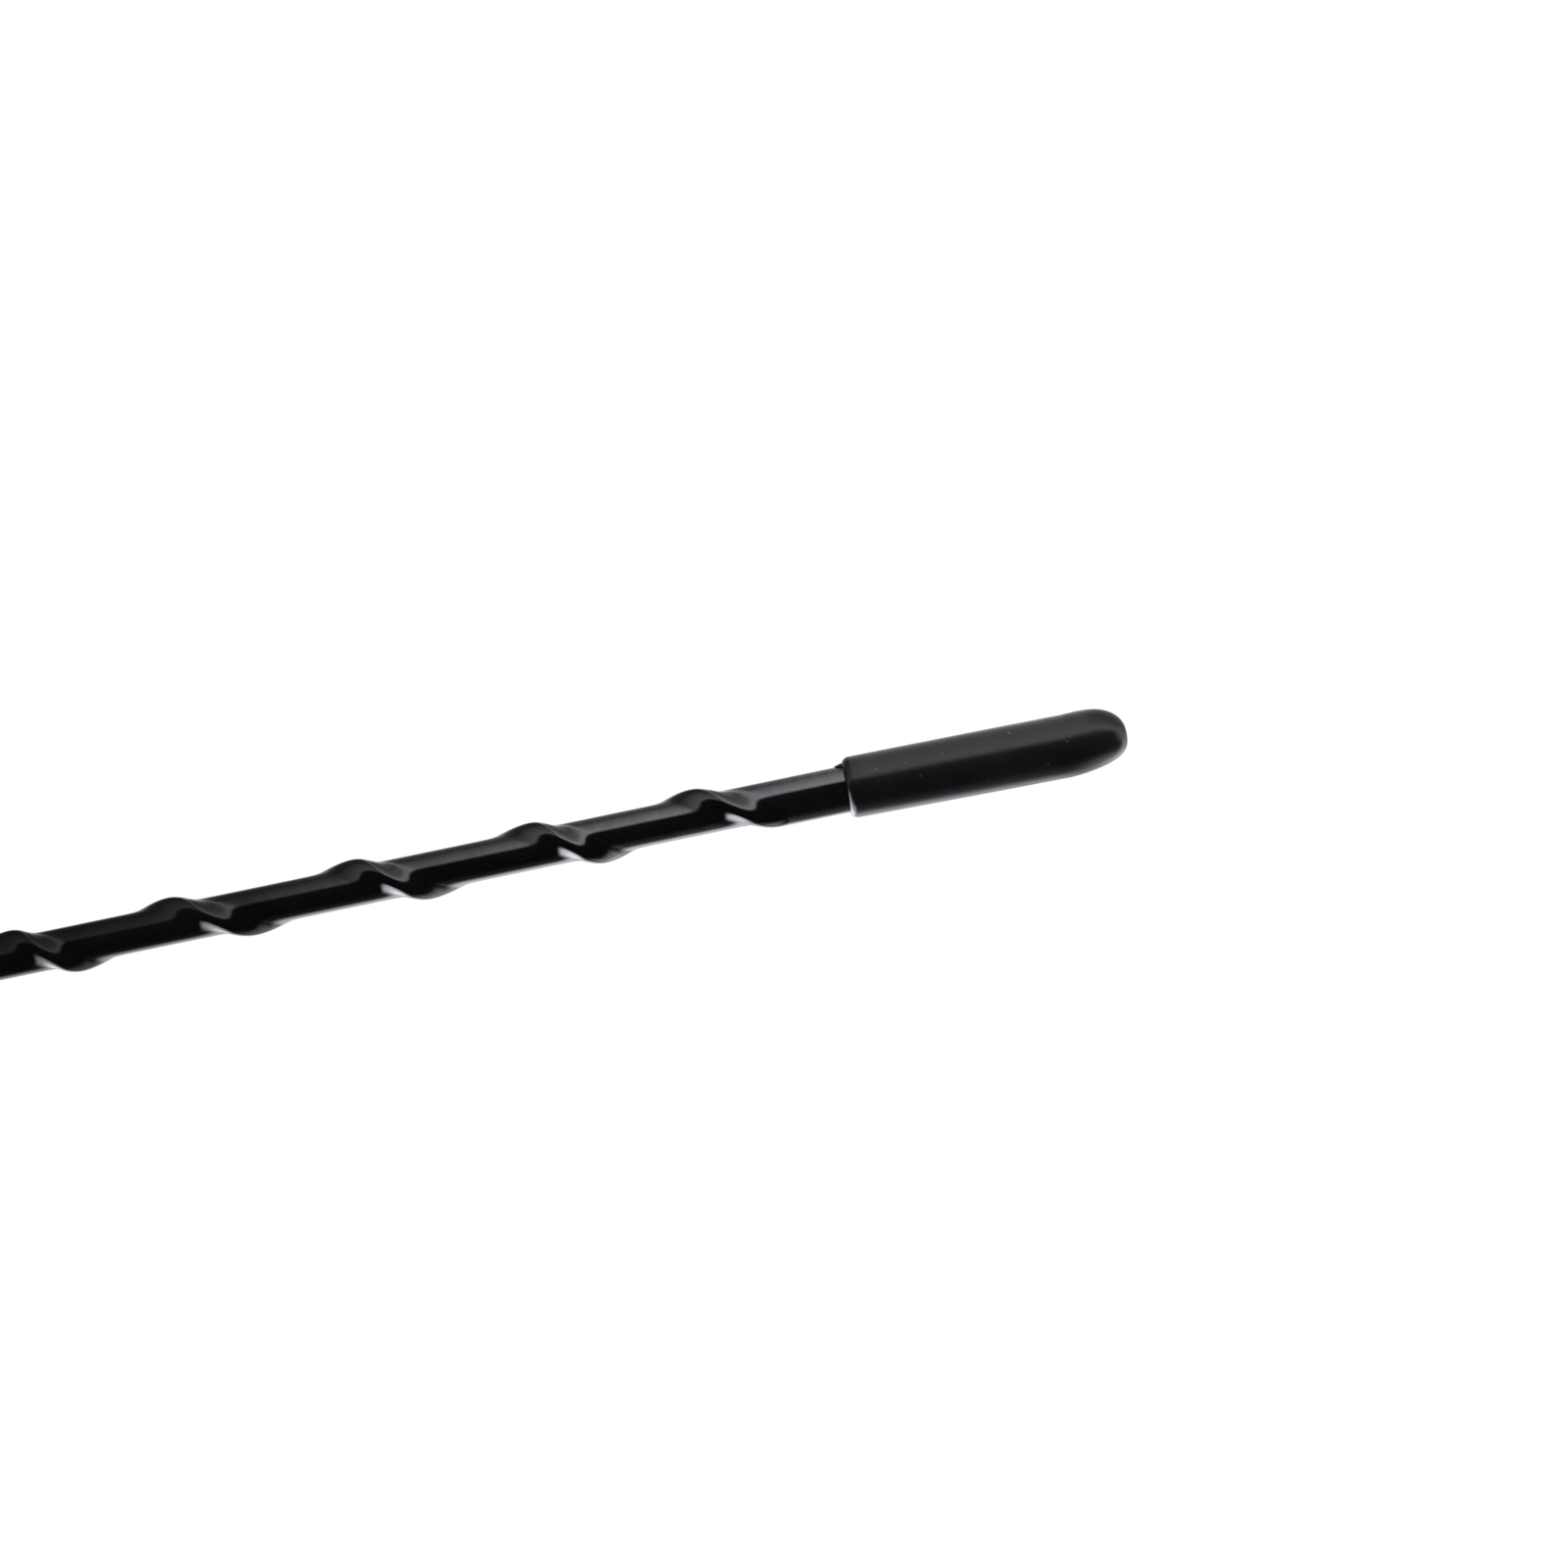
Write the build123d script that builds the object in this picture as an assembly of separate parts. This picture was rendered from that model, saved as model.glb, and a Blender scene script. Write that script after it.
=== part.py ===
from build123d import *
import os
from math import cos, radians, sin, sqrt, tau

os.makedirs("parts", exist_ok=True)

# A short car mast aerial, drawn upright. +Z runs up the mast to the tip, and the origin
# is on the stud's axis, in the face that seats on the car's aerial base. The wire's straight
# ends lie on the +X side. Sizes are millimetres and degrees.

# Core rod of glass fibre
rod_diameter = 3.0

# Radiator wire, laid on the rod in an open right-hand winding that leans, and wavers a little
# from turn to turn where it comes round on the -X side
wire_diameter = 0.8
back_rise = 11.3
front_rise = 7.4
winding_turns = 6
waver = 1.0
waver_turns = 2.7
waver_start = 2.9
lead_run = 7.4
tail_run = 7.7

# Sleeve shrunk over rod and wire, with a rib where it drapes over the wire
sleeve_wall = 0.5
rib_crown_angle = 18.0
rib_flank_angle = 50.0
rib_foot_angle = 40.0
rib_foot_bury = 0.08

# Tip cap of rubber, pushed on a little askew, with a flash left at its mouth
cap_length = 30.0
cap_diameter = 6.6
cap_dome_length = 4.8
cap_dome_lower_ring = 36.0
cap_dome_upper_ring = 66.0
cap_rim_chamfer = 0.5
cap_socket_depth = 16.0
cap_droop = 0.8
flash_length = 0.9
flash_thickness = 0.4
flash_tip_thickness = 0.2
flash_root = 0.3
flash_spread = 50.0

# Ferrule with its screw stud, turned in one from brass, with flats that key it in the grip
stud_diameter = 5.0
stud_length = 9.0
stud_chamfer = 0.6
collar_step = 1.25
collar_height = 2.0
collar_chamfer = 0.3
barrel_wall = 0.9
barrel_height = 20.0
flat_depth = 0.6
flat_start = 6.0
flat_height = 6.0
socket_depth = 17.0

# Grip moulded over the ferrule, a slim head on a wider foot
grip_height = 42.0
grip_foot_overhang = 1.0
grip_foot_height = 10.0
grip_head_wall = 1.2

# Clearances
fit_gap = 0.02
cap_gap = 0.05

# Radii
rod_radius = rod_diameter / 2
wire_radius = wire_diameter / 2
bore_radius = rod_radius + fit_gap
sleeve_radius = bore_radius + sleeve_wall
wire_track = bore_radius + wire_radius
channel_radius = wire_radius + fit_gap
rib_radius = channel_radius + sleeve_wall
crest_radius = wire_track + rib_radius
barrel_radius = wire_track + channel_radius + barrel_wall
collar_radius = barrel_radius + collar_step
grip_foot_radius = collar_radius + grip_foot_overhang
grip_head_radius = crest_radius + grip_head_wall

# Heights
barrel_top = collar_height + barrel_height
socket_floor = barrel_top - socket_depth
flat_bottom = collar_height + flat_start
flat_top = flat_bottom + flat_height
grip_top = collar_height + grip_height
winding_pitch = back_rise + front_rise
winding_bottom = grip_top + lead_run
winding_top = winding_bottom + winding_turns * winding_pitch
cap_mouth = winding_top + tail_run
core_top = cap_mouth + cap_socket_depth

# A slanted round wire cut square to the mast is wider round the mast by this factor
slant = sqrt(1 + (tau * wire_track / winding_pitch) ** 2)
hexagon_corner = 1 / cos(radians(30))


def around_wire(radius, angle):
    """Point of the round outline of that radius about the wire, cut square to the mast."""
    return wire_track + radius * cos(radians(angle)), slant * radius * sin(radians(angle))


def on_mast(radius, angle):
    """Point at that radius and angle about the mast's axis."""
    return radius * cos(radians(angle)), radius * sin(radians(angle))


def mirrored_face(half_outline):
    """Face whose outline is the points given and their mirror image across X."""
    other_half = [(x, -y) for x, y in reversed(half_outline)]
    return make_face(Polyline(*half_outline, *other_half, close=True)).face()


def wire_section():
    """The round wire, drawn with six sides."""
    return mirrored_face([around_wire(wire_radius * hexagon_corner, angle) for angle in (30, 90, 150)])


def channel_section():
    """The room for the wire, open to the bore below it, where the sleeve stands off the rod."""
    crown = around_wire(channel_radius * hexagon_corner, 30)
    side = around_wire(channel_radius * hexagon_corner, 90)
    foot = (bore_radius - channel_radius, side[1] + channel_radius / 4)
    return mirrored_face([crown, side, foot])


def rib_section(gap=0.0):
    """The sleeve's rib over the wire, with its feet buried in the wall."""
    crown = around_wire(rib_radius + gap, rib_crown_angle)
    flank = around_wire(rib_radius + gap, rib_flank_angle)
    foot = on_mast(sleeve_radius + gap - rib_foot_bury, rib_foot_angle)
    return mirrored_face([crown, flank, foot])


def climb(section, bottom, rise, facing=0, twist=0):
    """Carry a section up the mast from a height, turning about the axis as it rises."""
    start = Pos(0, 0, bottom) * Rot(0, 0, facing) * section
    if twist:
        return Solid.extrude_linear_with_rotation(start, (0, 0, bottom), (0, 0, rise), twist)
    return Solid.extrude(start, Vector(0, 0, rise))


def wound(section, bottom, top):
    """Carry a section along the wire's way: a straight lead, the turns, a straight tail."""
    stretches = [climb(section, bottom, winding_bottom - bottom)]
    for turn in range(winding_turns):
        turn_bottom = winding_bottom + turn * winding_pitch
        back = back_rise + waver * sin(tau * (turn - waver_start) / waver_turns)
        stretches.append(climb(section, turn_bottom, back, 0, 180))
        stretches.append(climb(section, turn_bottom + back, winding_pitch - back, 180, 180))
    stretches.append(climb(section, winding_top, top - winding_top))
    return stretches


def bar(radius, bottom, top, offset=0.0):
    """Round bar standing on the mast's axis, or beside it on the +X side."""
    return Pos(offset, 0, bottom) * Solid.make_cylinder(radius, top - bottom)


def turned(outline):
    """Solid turned about the axis from an outline of radius and height."""
    return revolve(Plane.XZ * make_face(outline), Axis.Z).solid()


def make_barrel(gap=0.0):
    """The ferrule's barrel with its two flats, or the room for it with a gap."""
    radius = barrel_radius + gap
    flat = radius - flat_depth
    height = flat_top - flat_bottom - 2 * gap
    recess = Box(2 * radius, flat_depth, height, align=(Align.CENTER, Align.MIN, Align.MIN))
    recess = Pos(0, flat, flat_bottom + gap) * recess
    return bar(radius, collar_height, barrel_top).cut(recess, mirror(recess, Plane.XZ))


def make_core_rod():
    """The rod, from the floor of the ferrule's socket to the blind end of the cap's."""
    return bar(rod_radius, socket_floor, core_top)


def make_radiator_wire():
    """The wire, in one length from the ferrule to the cap."""
    lead, *rest = wound(wire_section(), socket_floor, core_top)
    return lead.fuse(*rest)


def make_sleeve():
    """The tube with its rib, bored for the rod and channelled for the wire."""
    tube = bar(sleeve_radius, barrel_top, core_top)
    bore = bar(bore_radius, barrel_top, core_top)
    ribbed = tube.fuse(*wound(rib_section(), barrel_top, core_top))
    return ribbed.cut(bore, *wound(channel_section(), barrel_top, core_top))


def make_ferrule():
    """Stud, collar and barrel, bored as a socket for the rod with a slot for the wire."""
    stud = stud_diameter / 2
    foot = turned(
        Polyline(
            (0, collar_height),
            (0, -stud_length),
            (stud - stud_chamfer, -stud_length),
            (stud, stud_chamfer - stud_length),
            (stud, 0),
            (collar_radius - collar_chamfer, 0),
            (collar_radius, collar_chamfer),
            (collar_radius, collar_height),
            close=True,
        )
    )
    socket = bar(bore_radius, socket_floor, barrel_top)
    slot = climb(channel_section(), socket_floor, socket_depth)
    return foot.fuse(make_barrel()).cut(socket, slot)


def make_grip():
    """The moulding, hollow to the shape of what it was moulded round."""
    foot_top = collar_height + grip_foot_height
    body = turned(
        Polyline(
            (0, collar_height),
            (grip_foot_radius, collar_height),
            (grip_foot_radius, foot_top),
            (grip_head_radius, foot_top + grip_foot_radius - grip_head_radius),
            (grip_head_radius, grip_top),
            (0, grip_top),
            close=True,
        )
    )
    mast_room = bar(sleeve_radius + fit_gap, barrel_top, grip_top)
    rib_room = climb(rib_section(fit_gap), barrel_top, grip_top - barrel_top)
    return body.cut(make_barrel(fit_gap), mast_room, rib_room)


def make_tip_cap():
    """The domed cap, tilted on the mast, with its socket bored straight along the mast."""
    radius = cap_diameter / 2
    dome_bottom = cap_length - cap_dome_length
    dome = [
        (radius * cos(radians(angle)), dome_bottom + cap_dome_length * sin(radians(angle)))
        for angle in (0, cap_dome_lower_ring, cap_dome_upper_ring)
    ]
    body = turned(
        Polyline(
            (0, 0),
            (radius - cap_rim_chamfer, 0),
            (radius, cap_rim_chamfer),
            *dome,
            (0, cap_length),
            close=True,
        )
    )
    offset = (crest_radius - sleeve_radius) / 2
    room_radius = (crest_radius + sleeve_radius) / 2 + cap_gap
    flash_bottom = cap_mouth - flash_length
    flash_top = cap_mouth + flash_root
    flash_outline = Polyline(
        (room_radius - flash_thickness, flash_top),
        (room_radius - flash_thickness, flash_bottom),
        (room_radius + flash_tip_thickness, flash_bottom),
        (room_radius + flash_thickness, flash_top),
        close=True,
    )
    flash = revolve(Plane.XZ * make_face(flash_outline), Axis.Z, flash_spread).solid()
    flash = Pos(offset, 0, 0) * Rot(0, 0, 180 - flash_spread / 2) * flash
    body = Pos(offset, 0, cap_mouth) * Rot(0, cap_droop, 0) * body
    room = bar(room_radius, flash_bottom - flash_root, core_top, offset)
    return body.fuse(flash).cut(room)


parts = {
    "core_rod": make_core_rod(),
    "radiator_wire": make_radiator_wire(),
    "sleeve": make_sleeve(),
    "ferrule": make_ferrule(),
    "grip": make_grip(),
    "tip_cap": make_tip_cap(),
}
for name, solid in parts.items():
    export_step(solid, f"parts/{name}.step")
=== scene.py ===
import bpy
import numpy as np
from mathutils import Matrix, Vector


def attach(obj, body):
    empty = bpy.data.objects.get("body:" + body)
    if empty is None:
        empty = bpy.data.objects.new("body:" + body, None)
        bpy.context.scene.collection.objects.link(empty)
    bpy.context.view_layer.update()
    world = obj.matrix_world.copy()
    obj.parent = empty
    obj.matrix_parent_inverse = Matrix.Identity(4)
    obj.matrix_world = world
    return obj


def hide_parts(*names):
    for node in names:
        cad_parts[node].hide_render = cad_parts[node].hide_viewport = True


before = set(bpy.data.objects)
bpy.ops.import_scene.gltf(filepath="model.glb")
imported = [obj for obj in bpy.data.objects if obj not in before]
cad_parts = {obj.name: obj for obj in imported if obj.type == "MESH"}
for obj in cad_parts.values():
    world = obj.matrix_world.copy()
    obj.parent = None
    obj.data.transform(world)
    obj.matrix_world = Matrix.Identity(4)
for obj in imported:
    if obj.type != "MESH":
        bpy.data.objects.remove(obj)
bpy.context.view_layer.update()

# Ferrule: the metal foot of the mast, turned from brass bar in one with its collar and its
# screw stud, then plated with satin nickel. The stud's thread is rolled, and two flats on the
# barrel key it in the grip, which is moulded round it. Sizes here and below are in millimetres.
millimetre = 0.001
stud_radius, stud_end, stud_chamfer = 2.5, -9.0, 0.6
thread_pitch, thread_depth, thread_stop, thread_runout = 0.8, 0.46, -0.25, 0.9
thread_crest, thread_floor, thread_softness = 0.14, 0.24, 0.35
collar_radius, collar_top, collar_edge, collar_back = 4.49, 2.0, 0.3, 0.12
barrel_radius, barrel_foot, barrel_top, barrel_edge, barrel_fillet = 3.24, 2.2, 22.0, 0.2, 0.05
flat_distance, flat_bottom, flat_top, flat_step = 2.64, 8.0, 14.0, 0.01
bore_radius, socket_floor, bore_edge = 1.52, 5.0, 0.1
slot_depth, slot_half_angle, slot_ease = 0.90, 14.0, 20.0
sharp, collar_rings = 0.01, 6
nickel, worn_brass = (0.46, 0.44, 0.405, 1), (0.45, 0.33, 0.15, 1)
wear_radius, wear_bottom, wear_top, wear_share = 2.42, -1.5, -0.5, 0.55


def rounded(corners, rounding, rings):
    """Closed outline with its corners rounded. Each corner gives way to a parabola that
    leaves one side and meets the next at the rounding's distance from the corner."""
    corners, rounding = np.array(corners, float), np.array(rounding, float)[:, None]
    before, after = np.roll(corners, 1, 0) - corners, np.roll(corners, -1, 0) - corners
    start = corners + before / np.linalg.norm(before, axis=1, keepdims=True) * rounding
    stop = corners + after / np.linalg.norm(after, axis=1, keepdims=True) * rounding
    start, middle, stop = start[:, None], corners[:, None], stop[:, None]
    t = np.linspace(0, 1, rings)[None, :, None]
    curve = (1 - t) ** 2 * start + 2 * t * (1 - t) * middle + t**2 * stop
    return curve.reshape(-1, 2)


def all_round(count):
    """Bearings of so many points spaced evenly round the mast, in one row."""
    return np.linspace(0, 2 * np.pi, count, endpoint=False)[None, :]


def column(*values):
    """Values one to a ring, in one column."""
    return np.array(values, float)[:, None]


def smooth(t):
    """Smooth step of a share from 0 to 1: three times its square less twice its cube."""
    return t * t * (3 - 2 * t)


def round_the_mast(radius, bearing, height):
    """Points at a radius from the mast's axis, a bearing round it from +X, and a height."""
    radius, bearing, height = np.broadcast_arrays(radius, bearing, height)
    return np.stack([radius * np.cos(bearing), radius * np.sin(bearing), height], axis=-1)


def skin(name, lattices, crease):
    """Object from lattices of points in millimetres, each of rings by points. A point is
    joined to the next on its ring and to those on the next ring. A lattice whose first ring
    has no radius closes to a point at both ends, and any other joins its last ring to its
    first. Edges sharper than the crease, in degrees, stay sharp."""
    points, faces, count = [], [], 0
    for lattice in lattices:
        rings, columns = lattice.shape[:2]
        number = count + np.arange(rings * columns).reshape(rings, columns)
        pointed = np.ptp(lattice[0], axis=0).max() < 1e-9
        lower = number[1:-2] if pointed else number
        upper = number[2:-1] if pointed else np.roll(number, -1, 0)
        quads = np.stack([lower, np.roll(lower, -1, 1), np.roll(upper, -1, 1), upper], axis=-1)
        faces += quads.reshape(-1, 4).tolist()
        if pointed:
            first, last = number[1], number[-2]
            tip = np.full(columns, number[0, 0]), np.full(columns, number[-1, 0])
            faces += np.stack([tip[0], np.roll(first, -1), first], axis=-1).tolist()
            faces += np.stack([tip[1], last, np.roll(last, -1)], axis=-1).tolist()
        points.append(lattice.reshape(-1, 3))
        count += rings * columns
    mesh = bpy.data.meshes.new(name)
    mesh.from_pydata((np.concatenate(points) * millimetre).tolist(), [], faces)
    mesh.shade_smooth()
    mesh.set_sharp_from_angle(angle=np.radians(crease))
    piece = bpy.data.objects.new(name, mesh)
    bpy.context.scene.collection.objects.link(piece)
    return piece


def wire_room(bearing):
    """Radius of the bore round the rod, widened where the wire lies at bearing 0: it falls
    from the slot's depth to the bore as a smooth step over the bearing."""
    off = np.abs((np.degrees(bearing) + 180) % 360 - 180)
    t = np.clip((off - slot_half_angle) / slot_ease, 0, 1)
    return bore_radius + slot_depth * (1 - smooth(t))


def keyed_barrel(bearing, height, gap):
    """Radius of the barrel: round, but cut off square at the two flats between their heights."""
    flat = (flat_distance + gap) / np.maximum(np.abs(np.sin(bearing)), 1e-6)
    cut = (height > flat_bottom) & (height < flat_top)
    return np.where(cut, np.minimum(barrel_radius + gap, flat), barrel_radius + gap)


def threaded_stud(bearing, height):
    """Radius of the stud. A rounded trapezium wave climbs one pitch a turn and runs out
    before the collar, and a cone cuts it back to the chamfer at its end."""
    phase = np.abs((height / thread_pitch - bearing / (2 * np.pi)) % 1 - 0.5) * 2
    flank = 1 - thread_crest - thread_floor
    groove = np.clip((1 - thread_crest - phase) / flank, 0, 1)
    groove = smooth(groove) * thread_softness + groove * (1 - thread_softness)
    runout = np.clip((thread_stop - height) / thread_runout, 0, 1)
    cone = stud_radius - stud_chamfer + (height - stud_end)
    return np.minimum(stud_radius - thread_depth * groove * runout, cone)


bearing = all_round(128)
thread_height = np.linspace(stud_end, 0, 226)[:, None]
collar = rounded(
    [
        (stud_radius, 0),
        (collar_radius, 0),
        (collar_radius, collar_top),
        (barrel_radius, collar_top),
    ],
    [sharp, collar_edge, collar_back, barrel_fillet],
    collar_rings,
)[collar_rings:]
barrel_height = column(
    barrel_foot,
    flat_bottom - flat_step,
    flat_bottom + flat_step,
    flat_top - flat_step,
    flat_top + flat_step,
    barrel_top - barrel_edge,
)
bore_height = column(barrel_top - barrel_edge, flat_top, socket_floor)
ferrule = skin(
    "screw_ferrule",
    [
        np.concatenate(
            [
                round_the_mast(0, bearing, stud_end),
                round_the_mast(threaded_stud(bearing, thread_height), bearing, thread_height),
                round_the_mast(collar[:, :1], bearing, collar[:, 1:]),
                round_the_mast(keyed_barrel(bearing, barrel_height, 0), bearing, barrel_height),
                round_the_mast(barrel_radius - barrel_edge, bearing, barrel_top),
                round_the_mast(wire_room(bearing) + bore_edge, bearing, barrel_top),
                round_the_mast(wire_room(bearing), bearing, bore_height),
                round_the_mast(0, bearing, socket_floor),
            ]
        )
    ],
    crease=35,
)


def new_finish(name):
    """Procedural material, with its node tree, its shader and its Object coordinates."""
    finish = bpy.data.materials.new(name)
    finish.use_nodes = True
    tree = finish.node_tree
    place = tree.nodes.new("ShaderNodeTexCoord").outputs["Object"]
    return finish, tree, tree.nodes["Principled BSDF"], place


def put(tree, kind, inputs, **settings):
    """Node of a kind: settings are its own properties, and each input is given a value or is
    joined to another node's output."""
    node = tree.nodes.new(kind)
    for name, value in settings.items():
        setattr(node, name, value)
    for socket, value in inputs.items():
        if isinstance(value, bpy.types.NodeSocket):
            tree.links.new(value, node.inputs[socket])
        else:
            node.inputs[socket].default_value = value
    return node


def spread(tree, value, low, high, start, stop, even=False):
    """Output that goes from start to stop as the value goes from low to high, evenly or
    with a smooth beginning and end."""
    inputs = {"Value": value, "From Min": low, "From Max": high, "To Min": start, "To Max": stop}
    way = "LINEAR" if even else "SMOOTHSTEP"
    return put(tree, "ShaderNodeMapRange", inputs, interpolation_type=way).outputs["Result"]


def combine(tree, operation, first, *others):
    """Output of a math operation that takes in several values one after another."""
    for other in others:
        first = put(tree, "ShaderNodeMath", {0: first, 1: other}, operation=operation).outputs[0]
    return first


def tint(tree, mask, low, high):
    """Colour that goes from low to high as the mask goes from 0 to 1."""
    mix = put(tree, "ShaderNodeMix", {"Factor": mask}, data_type="RGBA")
    for socket, value in (("A_Color", low), ("B_Color", high)):
        target = next(s for s in mix.inputs if s.identifier == socket)
        if isinstance(value, bpy.types.NodeSocket):
            tree.links.new(value, target)
        else:
            target.default_value = value
    return next(s for s in mix.outputs if s.identifier == "Result_Color")


def new_group(name, inputs, outputs):
    """Shader node group with the named value or vector inputs and value outputs."""
    group = bpy.data.node_groups.new(name, "ShaderNodeTree")
    for socket, kind in inputs:
        group.interface.new_socket(socket, in_out="INPUT", socket_type=kind)
    for socket in outputs:
        group.interface.new_socket(socket, in_out="OUTPUT", socket_type="NodeSocketFloat")
    given, made = group.nodes.new("NodeGroupInput"), group.nodes.new("NodeGroupOutput")
    return group, given.outputs, made.inputs


# Grain: the fine unevenness of a drawn, moulded or shrunk surface. It gives a height for the
# bump and a slow mottle for colour and roughness.
grain, given, made = new_group(
    "surface_grain",
    [("Place", "NodeSocketVector"), ("Fine", "NodeSocketFloat"), ("Broad", "NodeSocketFloat")],
    ["Height", "Mottle"],
)
fine_inputs = {"Vector": given["Place"], "Scale": given["Fine"], "Detail": 3.0}
broad_inputs = {"Vector": given["Place"], "Scale": given["Broad"], "Detail": 2.0}
fine = put(grain, "ShaderNodeTexNoise", fine_inputs).outputs[0]
broad = put(grain, "ShaderNodeTexNoise", broad_inputs).outputs[0]
grain.links.new(fine, made["Height"])
grain.links.new(spread(grain, broad, 0.3, 0.7, 0.0, 1.0), made["Mottle"])


def add_grain(tree, place, fine, broad):
    """The grain group in a material, with its two spacings as cycles to the metre."""
    inputs = {"Place": place, "Fine": fine, "Broad": broad}
    made = put(tree, "ShaderNodeGroup", inputs, node_tree=grain).outputs
    return made["Height"], made["Mottle"]


def dress(tree, shader, height, mottle, colour, roughness, relief, depth):
    """Give a shader its colour, a roughness that goes from low to high with the mottle, and a
    bump that follows the grain's height, with the relief's strength and its depth in metres."""
    tree.links.new(colour, shader.inputs["Base Color"])
    tree.links.new(spread(tree, mottle, 0.0, 1.0, *roughness), shader.inputs["Roughness"])
    bump = put(tree, "ShaderNodeBump", {"Height": height, "Strength": relief, "Distance": depth})
    tree.links.new(bump.outputs[0], shader.inputs["Normal"])


plated, tree, shader, place = new_finish("nickel_plated_brass")
lathe_marks = put(tree, "ShaderNodeMapping", {"Vector": place, "Scale": (0.4, 0.4, 12.0)})
height, mottle = add_grain(tree, lathe_marks.outputs[0], fine=900.0, broad=400.0)
across = put(tree, "ShaderNodeVectorMath", {0: place, 1: (1, 1, 0)}, operation="MULTIPLY")
from_axis = put(tree, "ShaderNodeVectorMath", {0: across.outputs[0]}, operation="LENGTH")
from_axis = from_axis.outputs["Value"]
upward = put(tree, "ShaderNodeSeparateXYZ", {0: place}).outputs["Z"]
on_crest = spread(tree, from_axis, wear_radius * millimetre, stud_radius * millimetre, 0.0, 1.0)
on_stud = spread(tree, upward, wear_bottom * millimetre, wear_top * millimetre, wear_share, 0.0)
worn = combine(tree, "MULTIPLY", on_crest, on_stud, mottle)
plating = tint(tree, worn, nickel, worn_brass)
dress(tree, shader, height, mottle, plating, roughness=(0.34, 0.46), relief=0.10, depth=0.0001)
shader.inputs["Metallic"].default_value = 1.0
ferrule.data.materials.append(plated)
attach(ferrule, "root")
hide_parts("ferrule")

# Core rod: the springy spine of the mast, a pultruded rod of glass fibre in resin, glued into
# the ferrule's socket. The sleeve and the cap hide it, so its CAD solid is kept as it is.
resin, glass = (0.52, 0.49, 0.36, 1), (0.66, 0.62, 0.47, 1)
fibre, tree, shader, place = new_finish("glass_fibre_rod")
strands = put(tree, "ShaderNodeMapping", {"Vector": place, "Scale": (1.0, 1.0, 0.02)})
height, mottle = add_grain(tree, strands.outputs[0], fine=5200.0, broad=1400.0)
streaks = tint(tree, mottle, resin, glass)
dress(tree, shader, height, mottle, streaks, roughness=(0.35, 0.5), relief=0.2, depth=0.00005)
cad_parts["core_rod"].data.materials.clear()
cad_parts["core_rod"].data.materials.append(fibre)

# Radiator wire: enamelled copper, laid on the rod in an open winding and soldered into the
# ferrule. It lies hidden under the sleeve, so its CAD solid is kept as it is.
dark_copper, bright_copper = (0.42, 0.15, 0.06, 1), (0.55, 0.22, 0.09, 1)
enamel, tree, shader, place = new_finish("enamelled_copper")
height, mottle = add_grain(tree, place, fine=3000.0, broad=700.0)
copper = tint(tree, mottle, dark_copper, bright_copper)
dress(tree, shader, height, mottle, copper, roughness=(0.22, 0.35), relief=0.1, depth=0.00003)
shader.inputs["Metallic"].default_value = 1.0
shader.inputs["Coat Weight"].default_value = 0.6
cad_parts["radiator_wire"].data.materials.clear()
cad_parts["radiator_wire"].data.materials.append(enamel)

# Sleeve: black heat-shrink tube drawn tight over rod and wire, so that a soft rib shows where
# it drapes over the winding and shallow fillets lie along both of the rib's feet. It is glossy,
# and its reflection is weakened towards the grip as painted shade for light falling off there.
sleeve_radius, rib_height, rib_width, wire_track = 2.06, 0.82, np.radians(28), 1.92
sleeve_top, grip_top, cap_mouth, ring_step = 187.3, 44.0, 171.3, 0.3
winding_bottom, back_rise, front_rise, winding_turns = 51.4, 11.3, 7.4, 6
waver, waver_turns, waver_start = 1.0, 2.7, 2.9
bend_ease, least_slant = 1.1, 1.25
even_share, crowded_share = 0.45, 0.55
deep_black, faded_black = (0.0030, 0.0031, 0.0034, 1), (0.0042, 0.0043, 0.0047, 1)
sleeve_dust = (0.10, 0.10, 0.10, 1)
# Painted shade: heights and specular levels over which the sleeve's reflection fades from full
# gloss to a fifth of it towards the grip, standing in for light falling off.
painted_falloff_low, painted_falloff_high, painted_falloff_level, full_gloss_level = 85.0, 150.0, 0.10, 0.5


def wire_bearing(height):
    """Bearing of the wire at a height. It stays at 0 along the lead, climbs half a turn over
    the back rise and half over the front rise in each turn, then stays put along the tail.
    The back rise wavers as a sine along the turns and the front rise makes up for it; the mean
    over a short window of heights eases the bends."""
    waves = waver * np.sin(2 * np.pi * (np.arange(winding_turns) - waver_start) / waver_turns)
    rises = np.stack([back_rise + waves, front_rise - waves], axis=-1).ravel()
    bends = winding_bottom + np.concatenate([[0], np.cumsum(rises)])
    turned = np.pi * np.arange(len(bends))
    window = np.linspace(-bend_ease, bend_ease, 23)
    return np.interp(height[:, None] + window[None, :], bends, turned).mean(axis=1)


def rib_rise(off, slant):
    """How far the skin stands off the plain round at a bearing from the wire: a bell curve,
    widened round the mast where the wire slants."""
    return rib_height * np.exp(-((off / (rib_width * slant)) ** 2))


def draped(height, inside):
    """Sleeve's surface at those heights. The bearings from the wire crowd together over the
    rib as a cubic does about its middle, and the whole outline turns with the wire."""
    u = np.linspace(-1, 1, 104, endpoint=False)[None, :]
    off = np.pi * (even_share * u + crowded_share * u**3)
    lead = wire_bearing(height)
    slant = np.sqrt(1 + (wire_track * np.gradient(lead, height)) ** 2)
    slant = np.maximum(slant, least_slant)[:, None]
    radius = wire_room(off) if inside else sleeve_radius + rib_rise(off, slant)
    return round_the_mast(radius, lead[:, None] + off, height[:, None])


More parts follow.
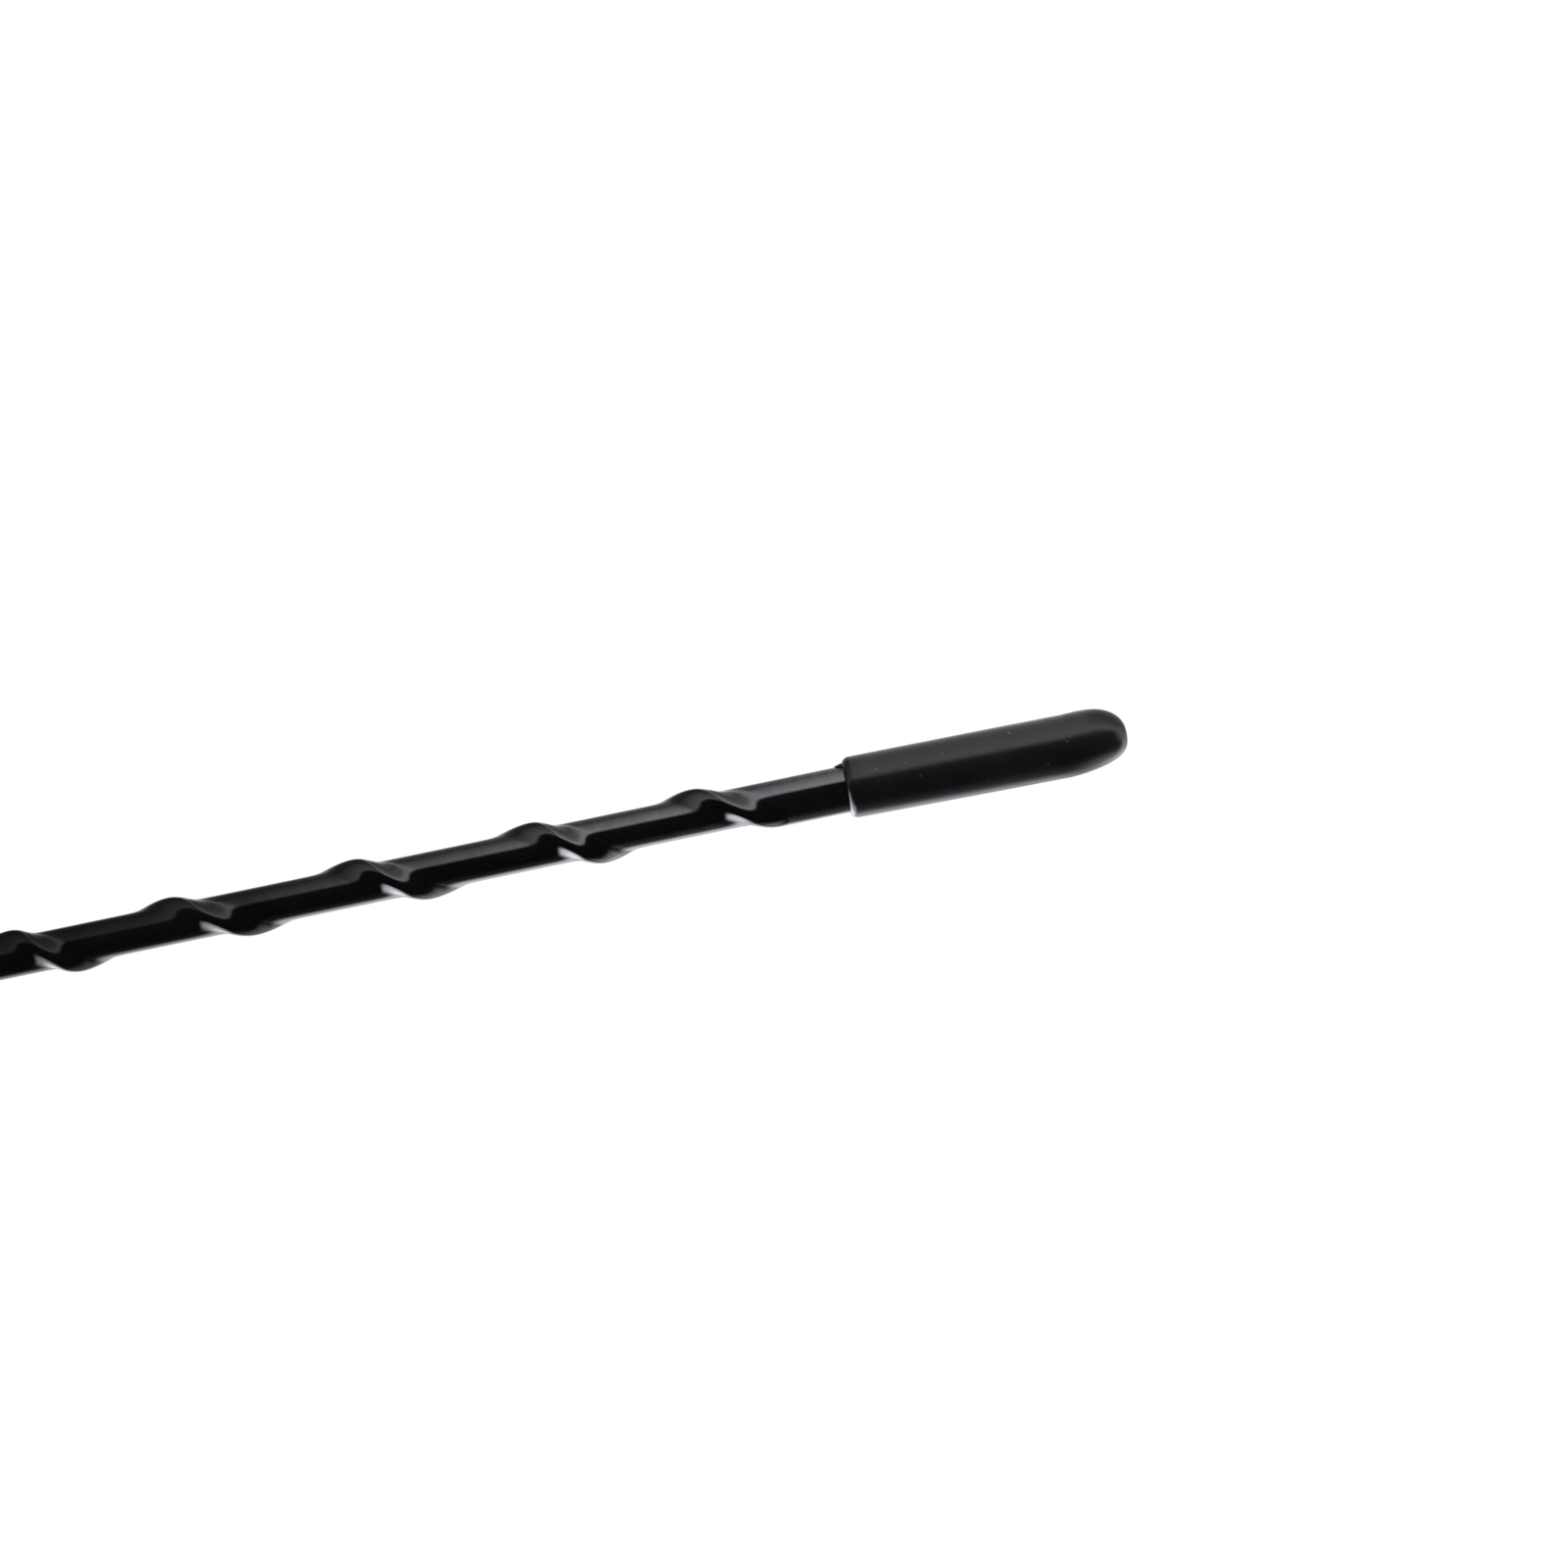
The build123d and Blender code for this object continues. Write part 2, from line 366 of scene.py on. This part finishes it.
outer_height = np.concatenate(
    [
        np.linspace(barrel_top, grip_top - 1, 12),
        np.arange(grip_top, cap_mouth, ring_step),
        np.linspace(cap_mouth, sleeve_top, 14),
    ]
)
inner_height = np.linspace(sleeve_top, barrel_top, 166)
sleeve_rings = np.concatenate([draped(outer_height, False), draped(inner_height, True)])
sleeve = skin("shrunk_sleeve", [sleeve_rings], crease=50)

# Dust: small pale specks on a dark surface. Space is parted in cells, and a share of the cells
# holds one speck each, of a size of its own and soft at its edge.
dust, given, made = new_group(
    "dust_specks",
    [
        ("Place", "NodeSocketVector"),
        ("Spacing", "NodeSocketFloat"),
        ("Share", "NodeSocketFloat"),
        ("Size", "NodeSocketFloat"),
    ],
    ["Specks"],
)
cell_inputs = {"Vector": given["Place"], "Scale": given["Spacing"]}
cells = put(dust, "ShaderNodeTexVoronoi", cell_inputs).outputs
draw = put(dust, "ShaderNodeSeparateColor", {"Color": cells["Color"]}).outputs
chosen = combine(dust, "LESS_THAN", draw["Red"], given["Share"])
grown = combine(dust, "MULTIPLY", given["Size"], spread(dust, draw["Green"], 0.0, 1.0, 0.5, 1.4))
near = combine(dust, "DIVIDE", cells["Distance"], grown)
speck = combine(dust, "MULTIPLY", chosen, spread(dust, near, 0.4, 1.0, 1.0, 0.0))
dust.links.new(speck, made["Specks"])


def add_dust(tree, place, spacing, share, size):
    """The dust group in a material: cells to the metre, the share of cells that hold a speck,
    and a speck's size as a share of its cell."""
    inputs = {"Place": place, "Spacing": spacing, "Share": share, "Size": size}
    return put(tree, "ShaderNodeGroup", inputs, node_tree=dust).outputs["Specks"]


gloss, tree, shader, place = new_finish("black_shrink_tube")
height, mottle = add_grain(tree, place, fine=420.0, broad=160.0)
specks = add_dust(tree, place, spacing=520.0, share=0.05, size=0.09)
black = tint(tree, specks, tint(tree, mottle, deep_black, faded_black), sleeve_dust)
dress(tree, shader, height, mottle, black, roughness=(0.08, 0.12), relief=0.06, depth=0.0003)
shader.inputs["IOR"].default_value = 1.5
# Painted shade: the specular level falls with height towards the grip, so the reflections there
# are dimmer, standing in for the light falling off along the mast.
upward = put(tree, "ShaderNodeSeparateXYZ", {0: place}).outputs["Z"]
painted_gloss_falloff = spread(
    tree, upward, painted_falloff_low * millimetre, painted_falloff_high * millimetre, painted_falloff_level, full_gloss_level
)
tree.links.new(painted_gloss_falloff, shader.inputs["Specular IOR Level"])
sleeve.data.materials.append(gloss)
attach(sleeve, "root")
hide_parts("sleeve")

# Grip: the foot that fingers turn to screw the aerial on, moulded in black plastic round the
# ferrule and the sleeve's lower end. Its skin has a fine spark-eroded grain and rounded edges.
foot_radius, foot_top, head_radius, mould_gap = 5.48, 12.0, 4.04, 0.02
foot_edge, shoulder_edge, head_edge, hole_edge = 0.35, 0.8, 0.5, 0.15
wall_middle, edge_rings = 3.0, 9
grip_black, grip_grey = (0.010, 0.010, 0.011, 1), (0.015, 0.015, 0.016, 1)
grip_dust = (0.12, 0.12, 0.12, 1)
shoulder_top = foot_top + foot_radius - head_radius
outside = rounded(
    [
        (foot_radius, collar_top),
        (foot_radius, foot_top),
        (head_radius, shoulder_top),
        (head_radius, grip_top),
        (wall_middle, grip_top),
        (wall_middle, collar_top),
    ],
    [foot_edge, shoulder_edge, shoulder_edge, head_edge, sharp, sharp],
    edge_rings,
)[: 4 * edge_rings]
grip_bearing = all_round(160)
off_rib = np.abs((grip_bearing + np.pi) % (2 * np.pi) - np.pi)
mast_hole = sleeve_radius + rib_rise(off_rib, least_slant) + mould_gap
hole_height = column(grip_top, grip_top - hole_edge, (grip_top + barrel_top) / 2, barrel_top)
hole_flare = column(hole_edge, 0, 0, 0)
key_height = column(
    barrel_top - mould_gap,
    flat_top - mould_gap,
    flat_top - 2 * mould_gap,
    flat_bottom + 2 * mould_gap,
    flat_bottom + mould_gap,
    collar_top,
)
key_radius = keyed_barrel(grip_bearing, key_height, mould_gap)
grip = skin(
    "moulded_grip",
    [
        np.concatenate(
            [
                round_the_mast(outside[:, :1], grip_bearing, outside[:, 1:]),
                round_the_mast(mast_hole + hole_flare, grip_bearing, hole_height),
                round_the_mast(key_radius, grip_bearing, key_height),
            ]
        )
    ],
    crease=40,
)
moulded, tree, shader, place = new_finish("moulded_black_plastic")
height, mottle = add_grain(tree, place, fine=4200.0, broad=220.0)
specks = add_dust(tree, place, spacing=260.0, share=0.10, size=0.06)
black = tint(tree, specks, tint(tree, mottle, grip_black, grip_grey), grip_dust)
dress(tree, shader, height, mottle, black, roughness=(0.42, 0.52), relief=0.25, depth=0.00008)
grip.data.materials.append(moulded)
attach(grip, "root")
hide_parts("grip")

# Tip cap: a soft black rubber cap pushed on over the end of the mast, sitting a little askew.
# It is moulded with a domed end and a rounded mouth, where a tag of flash is left on one side.
cap_radius, mouth_radius, cap_length, cap_socket = 3.33, 3.24, 30.0, 16.0
cap_offset, cap_shift, cap_room, cap_droop = 0.41, -0.085, 2.48, np.radians(0.8)
mouth_edge, mouth_slope, mouth_lip, mouth_bevel = 0.81, 0.03, 0.68, 0.06
dome_length, dome_fullness = 6.6, 2.6
dome_bow, bow_turn, bow_ease = 0.25, 2.8, 1.3
flash_length, flash_root, flash_thickness, flash_spread = 0.9, 0.30, 0.40, np.radians(50)
flash_fullness, flash_thinning = 0.6, 0.8
tear_depth, tear_waves, tear_start = 0.12, 31, 1.2
rubber_black, rubber_grey = (0.0074, 0.0074, 0.0082, 1), (0.0088, 0.0088, 0.0097, 1)
rubber_dust = (0.060, 0.060, 0.060, 1)
dome_bottom = cap_length - dome_length


def on_cap(radius, bearing, height, askew):
    """Points on the cap, from its own axis and mouth. Where askew is 1 they lean with the cap
    towards +X, and where it is 0 they stand along the mast, as its socket does. The dome bows
    towards -X by a sine of a power of its height."""
    radius, bearing, height, askew = np.broadcast_arrays(radius, bearing, height, askew)
    x, y = radius * np.cos(bearing), radius * np.sin(bearing)
    lean = cap_droop * askew
    leaning = x * np.cos(lean) + height * np.sin(lean)
    standing = height * np.cos(lean) - x * np.sin(lean)
    up_dome = np.clip((height - dome_bottom) / dome_length, 0, 1)
    bow = dome_bow * np.sin(bow_turn * up_dome**bow_ease)
    across = cap_offset + cap_shift * askew + leaning - bow
    return np.stack([across, y, cap_mouth + standing], axis=-1)


def flash_tag():
    """The tag of flash. Its outline round the mouth is a power of a cosine, a sine tears its
    lower edge, and its section is a flat loop that thins towards that edge."""
    station = np.linspace(-0.5, 0.5, 44)[:, None]
    section = all_round(20)
    swelling = np.maximum(np.cos(np.pi * station), 0) ** flash_fullness
    swelling[[0, -1]] = 0
    torn = 1 - tear_depth + tear_depth * np.sin(tear_waves * station + tear_start)
    reach = swelling * torn * np.sin(section / 2) ** 2
    wall = flash_thickness * swelling * (1 - flash_thinning * reach)
    radius = cap_room + wall * (0.5 + 0.5 * np.sin(section))
    height = flash_root - (flash_root + flash_length) * reach
    return on_cap(radius, np.pi + flash_spread * station, height, 0)


def capped_end():
    """The cap from its socket's floor, out round the mouth, up the side and over the dome. The
    mouth is a quarter of an ellipse, deeper on the -X side, the side swells as a quarter of a
    sine, and the dome is a superellipse."""
    bearing = all_round(144)
    quarter = np.linspace(0, np.pi / 2, 11)[:, None]
    side = np.linspace(0, 1, 14)[1:-1, None]
    dome = np.linspace(0, np.pi / 2, 26)[:-1, None]
    edge = mouth_edge - mouth_slope * np.cos(bearing)
    socket_radius = column(0, cap_room, cap_room, cap_room + mouth_bevel)
    socket_height = column(cap_socket, cap_socket, mouth_bevel, 0)
    lip_radius = mouth_radius - mouth_lip + mouth_lip * np.sin(quarter)
    swell = mouth_radius + (cap_radius - mouth_radius) * np.sin(side * np.pi / 2)
    dome_radius = cap_radius * np.cos(dome) ** (2 / dome_fullness)
    dome_height = dome_bottom + dome_length * np.sin(dome) ** (2 / dome_fullness)
    return np.concatenate(
        [
            on_cap(socket_radius, bearing, socket_height, 0),
            on_cap(lip_radius, bearing, edge - edge * np.cos(quarter), 1),
            on_cap(swell, bearing, edge + (dome_bottom - edge) * side, 1),
            on_cap(dome_radius, bearing, dome_height, 1),
            on_cap(0, bearing, cap_length, 1),
        ]
    )


tip_cap = skin("rubber_tip_cap", [capped_end(), flash_tag()], crease=60)
rubber, tree, shader, place = new_finish("black_cap_rubber")
height, mottle = add_grain(tree, place, fine=2600.0, broad=240.0)
specks = add_dust(tree, place, spacing=520.0, share=0.80, size=0.10)
black = tint(tree, specks, tint(tree, mottle, rubber_black, rubber_grey), rubber_dust)
dress(tree, shader, height, mottle, black, roughness=(0.24, 0.28), relief=0.12, depth=0.00006)
shader.inputs["IOR"].default_value = 1.29
tip_cap.data.materials.append(rubber)
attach(tip_cap, "root")
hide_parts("tip_cap")

# Floor: a round of pale card under the stud. Away from the aerial it goes over into the same
# plain white as the surround, as a paper sweep does, and it keeps the aerial's soft shadow.
card_edge, card_gap, card_back = 460.0, 0.02, 2.0
fade_start, fade_stop = 150.0, 400.0
card_grey, card_white = (0.79, 0.79, 0.785, 1), (0.82, 0.82, 0.815, 1)
card_radius = column(0, 40, 120, 240, 360, card_edge, card_edge, 0)
card_depth = column(*[card_gap] * 6, card_back, card_back)
card_rings = round_the_mast(card_radius, all_round(96), stud_end - card_depth)[::-1]
floor = skin("floor_card", [card_rings], crease=30)
card, tree, shader, place = new_finish("pale_card")
height, mottle = add_grain(tree, place, fine=700.0, broad=30.0)
pale = tint(tree, mottle, card_grey, card_white)
dress(tree, shader, height, mottle, pale, roughness=(0.75, 0.85), relief=0.05, depth=0.0002)
reach = put(tree, "ShaderNodeVectorMath", {0: place}, operation="LENGTH").outputs["Value"]
rim = spread(tree, reach, fade_start * millimetre, fade_stop * millimetre, 0.0, 1.0)
ray = tree.nodes.new("ShaderNodeLightPath").outputs
seen = combine(
    tree, "MAXIMUM", ray["Is Camera Ray"], ray["Is Glossy Ray"], ray["Is Transmission Ray"]
)
fade = combine(tree, "MULTIPLY", rim, seen)
white = put(tree, "ShaderNodeEmission", {"Color": (1, 1, 1, 1), "Strength": 1.0}).outputs[0]
blend = put(tree, "ShaderNodeMixShader", {0: fade, 1: shader.outputs[0], 2: white}).outputs[0]
tree.links.new(blend, tree.nodes["Material Output"].inputs["Surface"])
floor.data.materials.append(card)
floor.visible_glossy = False

# Studio: a surround that the camera sees as plain white. A tall soft box and a pale wall stand on
# the -X side, white paper hangs on the +X side behind the mast, a pale table lies below it and an
# end wall stands beyond the tip. The room in front is dark, which draws the black on the mast.
box_light, wall_light, paper_light, paper_side_light = 5.1, 0.52, 3.3, 2.5
behind_light, glow_light, end_light, table_light, table_end_light = 0.8, 0.18, 2.4, 9.5, 10.0
cool_light, plain_white = (0.965, 0.975, 1.03, 1), (1, 1, 1, 1)
studio = bpy.data.worlds.new("studio")
bpy.context.scene.world = studio
studio.use_nodes = True
tree = studio.node_tree
away = tree.nodes.new("ShaderNodeTexCoord").outputs["Generated"]
away = put(tree, "ShaderNodeSeparateXYZ", {0: away}).outputs
sideways, backward, upward = away["X"], away["Y"], away["Z"]

# Turn: degrees round from the camera's side, positive towards -X.
left = combine(tree, "MULTIPLY", sideways, -1.0)
front = combine(tree, "MULTIPLY", backward, -1.0)
turn = combine(tree, "MULTIPLY", combine(tree, "ARCTAN2", left, front), np.degrees(1))

# Soft box and wall on the -X side
box_edge = spread(tree, turn, 19.5, 37.0, 0.0, 1.0)
box_fall = spread(tree, turn, 38.0, 100.0, 1.0, 0.0, even=True)
box_end = spread(tree, upward, -0.099, 0.015, 0.20, 1.0, even=True)
box_foot = spread(tree, upward, -0.10, -0.14, 0.0, 0.29)
box_head = spread(tree, upward, 0.004, 0.03, 1.0, 0.75)
box_top = spread(tree, upward, 0.12, 0.30, 1.0, spread(tree, turn, 35.0, 70.0, 0.85, 0.45))
box_height = combine(tree, "MAXIMUM", box_end, box_foot)
box_height = combine(tree, "MINIMUM", box_height, box_head, box_top)
box = combine(tree, "MULTIPLY", box_edge, box_fall, box_height, box_light)
wall_rise = combine(
    tree,
    "MULTIPLY",
    spread(tree, upward, 0.004, 0.02, 0.0, 3.7),
    spread(tree, upward, 0.075, 0.15, 1.0, 0.12),
    spread(tree, turn, 90.0, 135.0, 1.0, 0.5),
)
wall_height = combine(tree, "ADD", spread(tree, upward, -0.14, 0.0, 0.3, 1.0), wall_rise)
wall = combine(tree, "MULTIPLY", spread(tree, turn, 20.0, 110.0, 0.0, wall_light), wall_height)

# White paper on the +X side, its glow beside the mast, and the white right behind the mast
paper_fade = spread(tree, turn, -130.0, -168.0, 1.0, 0.3)
paper_low = spread(tree, upward, 0.02, 0.06, 1.0, 0.5)
paper_high = spread(tree, upward, 0.08, 0.30, 0.0, 1.3)
paper_height = combine(tree, "MAXIMUM", paper_low, paper_high)
paper = spread(tree, turn, -99.0, -130.0, 0.0, paper_light)
paper = combine(tree, "MULTIPLY", paper, paper_fade, paper_height)
paper_side = combine(
    tree,
    "MULTIPLY",
    spread(tree, upward, 0.04, 0.30, 0.0, 1.0),
    spread(tree, upward, 0.45, 0.65, 1.0, 0.0),
    spread(tree, turn, -68.0, -104.0, 0.0, paper_side_light),
    paper_fade,
)
glow_low = spread(tree, upward, -0.018, -0.003, 1.0, 5.4)
glow_high = spread(tree, upward, 0.008, 0.040, 1.0, 0.19)
glow_height = combine(tree, "MULTIPLY", glow_low, glow_high)
glow = combine(tree, "MULTIPLY", spread(tree, turn, -60.0, -100.0, 0.01, glow_light), glow_height)
behind = spread(tree, backward, 0.55, 1.0, 0.0, behind_light)

# End wall beyond the tip, and the table below with its brighter end
end_wall = spread(tree, upward, 0.88, 0.97, 0.0, end_light)
table = combine(
    tree,
    "MULTIPLY",
    spread(tree, upward, -0.15, -0.50, 0.0, table_light),
    spread(tree, backward, -0.30, 0.05, 0.0, 1.0),
    spread(tree, sideways, 0.0, 0.35, 0.0, 1.0),
)
table_end = combine(
    tree,
    "MULTIPLY",
    spread(tree, upward, -0.70, -0.90, 0.0, table_end_light),
    spread(tree, backward, -0.35, 0.00, 0.0, 1.0),
    spread(tree, sideways, -0.05, 0.25, 0.0, 1.0),
)
pale_side = combine(tree, "ADD", box, wall)
total = combine(
    tree, "MAXIMUM", pale_side, paper, paper_side, behind, table, table_end, glow, end_wall
)
ray = tree.nodes.new("ShaderNodeLightPath").outputs
seen = combine(tree, "MAXIMUM", ray["Is Camera Ray"], ray["Is Transmission Ray"])
level = put(tree, "ShaderNodeMix", {"Factor": seen, "A": total, "B": 1.0}).outputs["Result"]
surround = tree.nodes["Background"]
tree.links.new(tint(tree, seen, cool_light, plain_white), surround.inputs["Color"])
tree.links.new(level, surround.inputs["Strength"])

# Camera: a long lens square to the mast, rolled so that the tip points right and a little up.
# It is aimed at a point of the mast a little below the cap's mouth.
view_width, lens, sensor_width, nearest = 164.6, 135.0, 36.0, 10.0
roll, aim = np.radians(11.7), Vector((-1.44, 0.0, 164.98))
right = Vector((np.sin(roll), 0, np.cos(roll)))
up = Vector((-np.cos(roll), 0, np.sin(roll)))
back = right.cross(up)
camera = bpy.data.objects.new("camera", bpy.data.cameras.new("camera"))
bpy.context.scene.collection.objects.link(camera)
camera.data.lens = lens
camera.data.sensor_width = sensor_width
camera.data.clip_start = nearest * millimetre
pose = Matrix((right, up, back)).transposed().to_4x4()
pose.translation = (aim + back * (view_width * lens / sensor_width)) * millimetre
camera.matrix_world = pose
bpy.context.scene.camera = camera
bpy.context.scene.view_settings.view_transform = "Standard"
